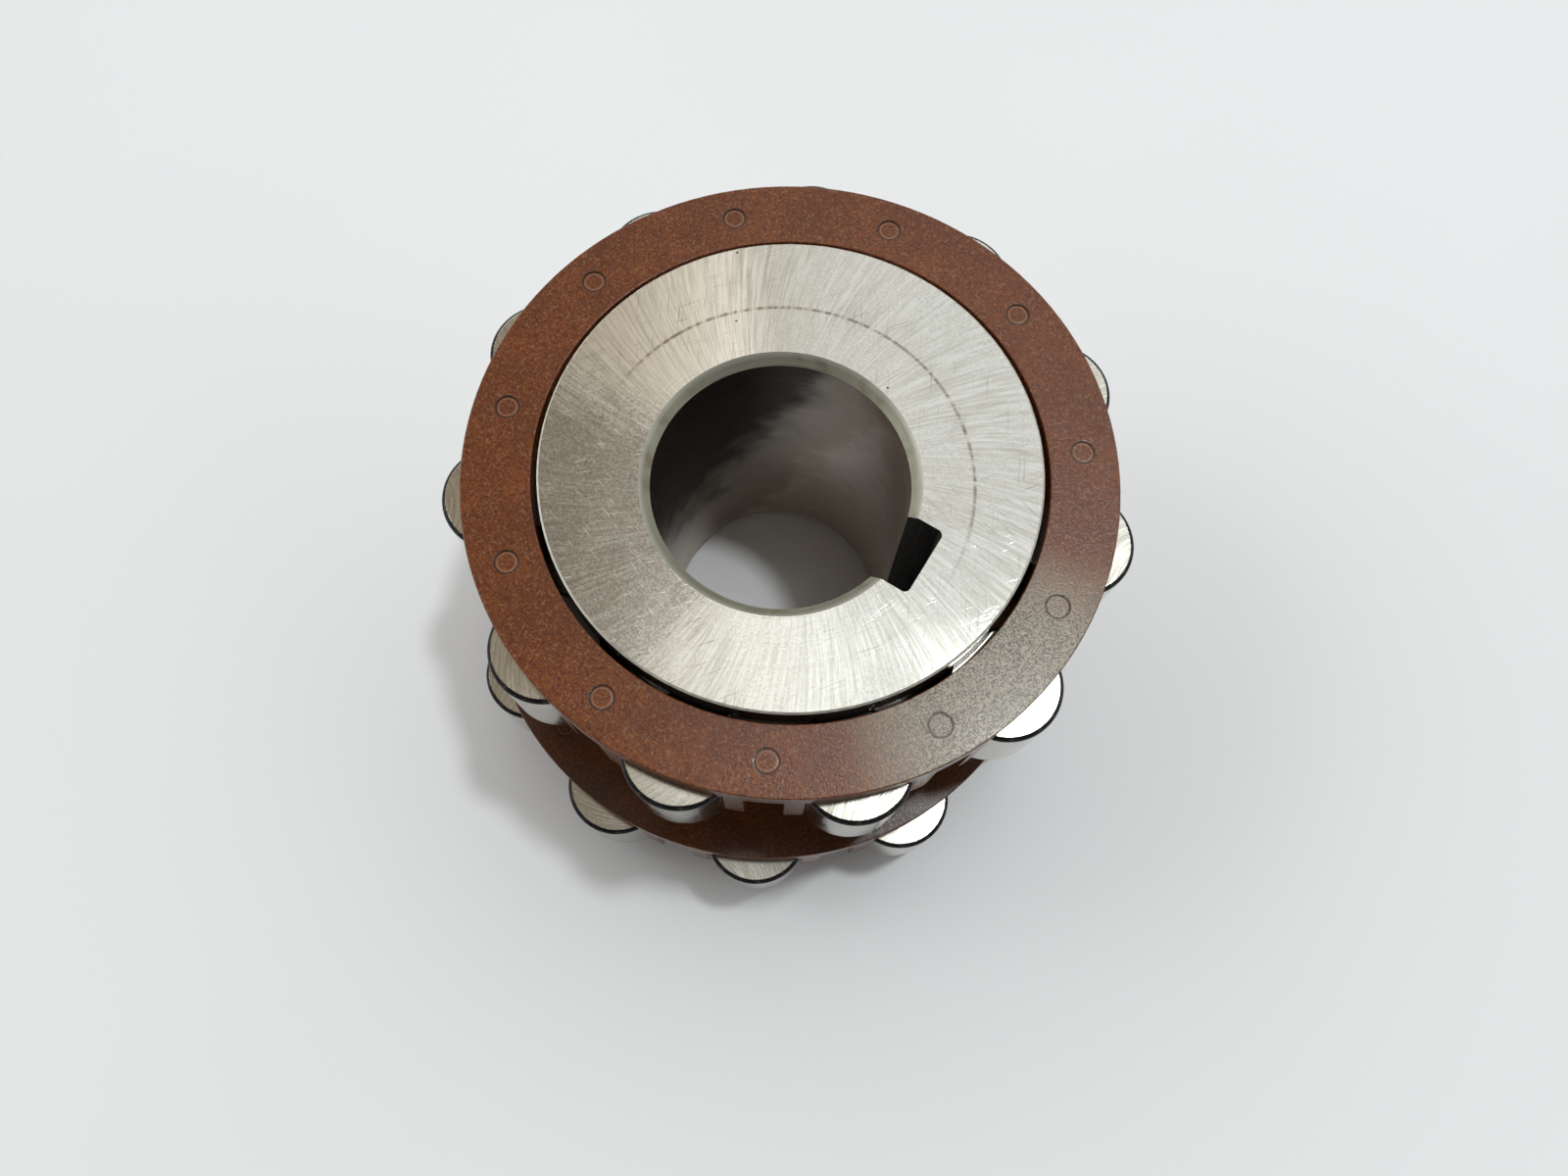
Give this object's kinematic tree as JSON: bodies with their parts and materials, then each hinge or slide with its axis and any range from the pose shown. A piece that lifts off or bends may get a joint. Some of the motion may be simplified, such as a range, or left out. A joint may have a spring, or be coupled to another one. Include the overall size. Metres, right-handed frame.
{
  "type": "eccentric bearing",
  "caption": "Double-row eccentric roller bearing without outer ring: keyed steel inner ring with two opposed eccentric raceways, cylindrical rollers in moulded window cages.",
  "frame": {"origin": "on the bore axis at mid width", "axes": "+Z along the bore axis, +X towards the keyway, +Y towards the side where the upper row stands out furthest"},
  "size_m": [0.0681, 0.0718, 0.042],
  "materials": {
    "ring_steel": "ground bearing steel, faces brushed, edges bright",
    "roller_steel": "fine-ground bearing steel",
    "cage_resin": "brown fibre-filled moulded resin"
  },
  "bodies": {
    "inner_ring": {"inner_ring": "ring_steel"},
    "upper_cage": {"upper_cage": "cage_resin"},
    "lower_cage": {"lower_cage": "cage_resin"},
    "upper_roller_01": {"upper_roller_01": "roller_steel"},
    "upper_roller_02": {"upper_roller_02": "roller_steel"},
    "upper_roller_03": {"upper_roller_03": "roller_steel"},
    "upper_roller_04": {"upper_roller_04": "roller_steel"},
    "upper_roller_05": {"upper_roller_05": "roller_steel"},
    "upper_roller_06": {"upper_roller_06": "roller_steel"},
    "upper_roller_07": {"upper_roller_07": "roller_steel"},
    "upper_roller_08": {"upper_roller_08": "roller_steel"},
    "upper_roller_09": {"upper_roller_09": "roller_steel"},
    "upper_roller_10": {"upper_roller_10": "roller_steel"},
    "upper_roller_11": {"upper_roller_11": "roller_steel"},
    "lower_roller_01": {"lower_roller_01": "roller_steel"},
    "lower_roller_02": {"lower_roller_02": "roller_steel"},
    "lower_roller_03": {"lower_roller_03": "roller_steel"},
    "lower_roller_04": {"lower_roller_04": "roller_steel"},
    "lower_roller_05": {"lower_roller_05": "roller_steel"},
    "lower_roller_06": {"lower_roller_06": "roller_steel"},
    "lower_roller_07": {"lower_roller_07": "roller_steel"},
    "lower_roller_08": {"lower_roller_08": "roller_steel"},
    "lower_roller_09": {"lower_roller_09": "roller_steel"},
    "lower_roller_10": {"lower_roller_10": "roller_steel"},
    "lower_roller_11": {"lower_roller_11": "roller_steel"}
  },
  "joints": [
    {"name": "upper_cage_spin", "type": "hinge", "parent": "inner_ring", "child": "upper_cage", "pos_m": [0, 0.0019, 0.0116], "axis": [0, 0, 1], "continuous": true},
    {"name": "lower_cage_spin", "type": "hinge", "parent": "inner_ring", "child": "lower_cage", "pos_m": [0, -0.0019, -0.0116], "axis": [0, 0, 1], "continuous": true},
    {"name": "upper_roller_01_spin", "type": "hinge", "parent": "upper_cage", "child": "upper_roller_01", "pos_m": [0.02704, 0.01121, 0.0116], "axis": [0, 0, 1], "continuous": true},
    {"name": "upper_roller_02_spin", "type": "hinge", "parent": "upper_cage", "child": "upper_roller_02", "pos_m": [0.01772, 0.02435, 0.0116], "axis": [0, 0, 1], "continuous": true},
    {"name": "upper_roller_03_spin", "type": "hinge", "parent": "upper_cage", "child": "upper_roller_03", "pos_m": [0.00276, 0.03037, 0.0116], "axis": [0, 0, 1], "continuous": true},
    {"name": "upper_roller_04_spin", "type": "hinge", "parent": "upper_cage", "child": "upper_roller_04", "pos_m": [-0.01306, 0.02734, 0.0116], "axis": [0, 0, 1], "continuous": true},
    {"name": "upper_roller_05_spin", "type": "hinge", "parent": "upper_cage", "child": "upper_roller_05", "pos_m": [-0.02475, 0.01624, 0.0116], "axis": [0, 0, 1], "continuous": true},
    {"name": "upper_roller_06_spin", "type": "hinge", "parent": "upper_cage", "child": "upper_roller_06", "pos_m": [-0.02857, 0.00058, 0.0116], "axis": [0, 0, 1], "continuous": true},
    {"name": "upper_roller_07_spin", "type": "hinge", "parent": "upper_cage", "child": "upper_roller_07", "pos_m": [-0.02332, -0.01465, 0.0116], "axis": [0, 0, 1], "continuous": true},
    {"name": "upper_roller_08_spin", "type": "hinge", "parent": "upper_cage", "child": "upper_roller_08", "pos_m": [-0.01067, -0.02463, 0.0116], "axis": [0, 0, 1], "continuous": true},
    {"name": "upper_roller_09_spin", "type": "hinge", "parent": "upper_cage", "child": "upper_roller_09", "pos_m": [0.00537, -0.02619, 0.0116], "axis": [0, 0, 1], "continuous": true},
    {"name": "upper_roller_10_spin", "type": "hinge", "parent": "upper_cage", "child": "upper_roller_10", "pos_m": [0.0197, -0.01883, 0.0116], "axis": [0, 0, 1], "continuous": true},
    {"name": "upper_roller_11_spin", "type": "hinge", "parent": "upper_cage", "child": "upper_roller_11", "pos_m": [0.02778, -0.00489, 0.0116], "axis": [0, 0, 1], "continuous": true},
    {"name": "lower_roller_01_spin", "type": "hinge", "parent": "lower_cage", "child": "lower_roller_01", "pos_m": [0.02851, 0.00034, -0.0116], "axis": [0, 0, 1], "continuous": true},
    {"name": "lower_roller_02_spin", "type": "hinge", "parent": "lower_cage", "child": "lower_roller_02", "pos_m": [0.02277, 0.0154, -0.0116], "axis": [0, 0, 1], "continuous": true},
    {"name": "lower_roller_03_spin", "type": "hinge", "parent": "lower_cage", "child": "lower_roller_03", "pos_m": [0.0098, 0.02497, -0.0116], "axis": [0, 0, 1], "continuous": true},
    {"name": "lower_roller_04_spin", "type": "hinge", "parent": "lower_cage", "child": "lower_roller_04", "pos_m": [-0.00628, 0.026, -0.0116], "axis": [0, 0, 1], "continuous": true},
    {"name": "lower_roller_05_spin", "type": "hinge", "parent": "lower_cage", "child": "lower_roller_05", "pos_m": [-0.02037, 0.01818, -0.0116], "axis": [0, 0, 1], "continuous": true},
    {"name": "lower_roller_06_spin", "type": "hinge", "parent": "lower_cage", "child": "lower_roller_06", "pos_m": [-0.02799, 0.00398, -0.0116], "axis": [0, 0, 1], "continuous": true},
    {"name": "lower_roller_07_spin", "type": "hinge", "parent": "lower_cage", "child": "lower_roller_07", "pos_m": [-0.02672, -0.01209, -0.0116], "axis": [0, 0, 1], "continuous": true},
    {"name": "lower_roller_08_spin", "type": "hinge", "parent": "lower_cage", "child": "lower_roller_08", "pos_m": [-0.01698, -0.02492, -0.0116], "axis": [0, 0, 1], "continuous": true},
    {"name": "lower_roller_09_spin", "type": "hinge", "parent": "lower_cage", "child": "lower_roller_09", "pos_m": [-0.00184, -0.03044, -0.0116], "axis": [0, 0, 1], "continuous": true},
    {"name": "lower_roller_10_spin", "type": "hinge", "parent": "lower_cage", "child": "lower_roller_10", "pos_m": [0.01389, -0.0269, -0.0116], "axis": [0, 0, 1], "continuous": true},
    {"name": "lower_roller_11_spin", "type": "hinge", "parent": "lower_cage", "child": "lower_roller_11", "pos_m": [0.0252, -0.01543, -0.0116], "axis": [0, 0, 1], "continuous": true}
  ],
  "couplings": [
    {"joint": "upper_roller_01_spin", "follows": "upper_cage_spin", "ratio": 4.2},
    {"joint": "upper_roller_02_spin", "follows": "upper_cage_spin", "ratio": 4.2},
    {"joint": "upper_roller_03_spin", "follows": "upper_cage_spin", "ratio": 4.2},
    {"joint": "upper_roller_04_spin", "follows": "upper_cage_spin", "ratio": 4.2},
    {"joint": "upper_roller_05_spin", "follows": "upper_cage_spin", "ratio": 4.2},
    {"joint": "upper_roller_06_spin", "follows": "upper_cage_spin", "ratio": 4.2},
    {"joint": "upper_roller_07_spin", "follows": "upper_cage_spin", "ratio": 4.2},
    {"joint": "upper_roller_08_spin", "follows": "upper_cage_spin", "ratio": 4.2},
    {"joint": "upper_roller_09_spin", "follows": "upper_cage_spin", "ratio": 4.2},
    {"joint": "upper_roller_10_spin", "follows": "upper_cage_spin", "ratio": 4.2},
    {"joint": "upper_roller_11_spin", "follows": "upper_cage_spin", "ratio": 4.2},
    {"joint": "lower_roller_01_spin", "follows": "lower_cage_spin", "ratio": 4.2},
    {"joint": "lower_roller_02_spin", "follows": "lower_cage_spin", "ratio": 4.2},
    {"joint": "lower_roller_03_spin", "follows": "lower_cage_spin", "ratio": 4.2},
    {"joint": "lower_roller_04_spin", "follows": "lower_cage_spin", "ratio": 4.2},
    {"joint": "lower_roller_05_spin", "follows": "lower_cage_spin", "ratio": 4.2},
    {"joint": "lower_roller_06_spin", "follows": "lower_cage_spin", "ratio": 4.2},
    {"joint": "lower_roller_07_spin", "follows": "lower_cage_spin", "ratio": 4.2},
    {"joint": "lower_roller_08_spin", "follows": "lower_cage_spin", "ratio": 4.2},
    {"joint": "lower_roller_09_spin", "follows": "lower_cage_spin", "ratio": 4.2},
    {"joint": "lower_roller_10_spin", "follows": "lower_cage_spin", "ratio": 4.2},
    {"joint": "lower_roller_11_spin", "follows": "lower_cage_spin", "ratio": 4.2}
  ]
}
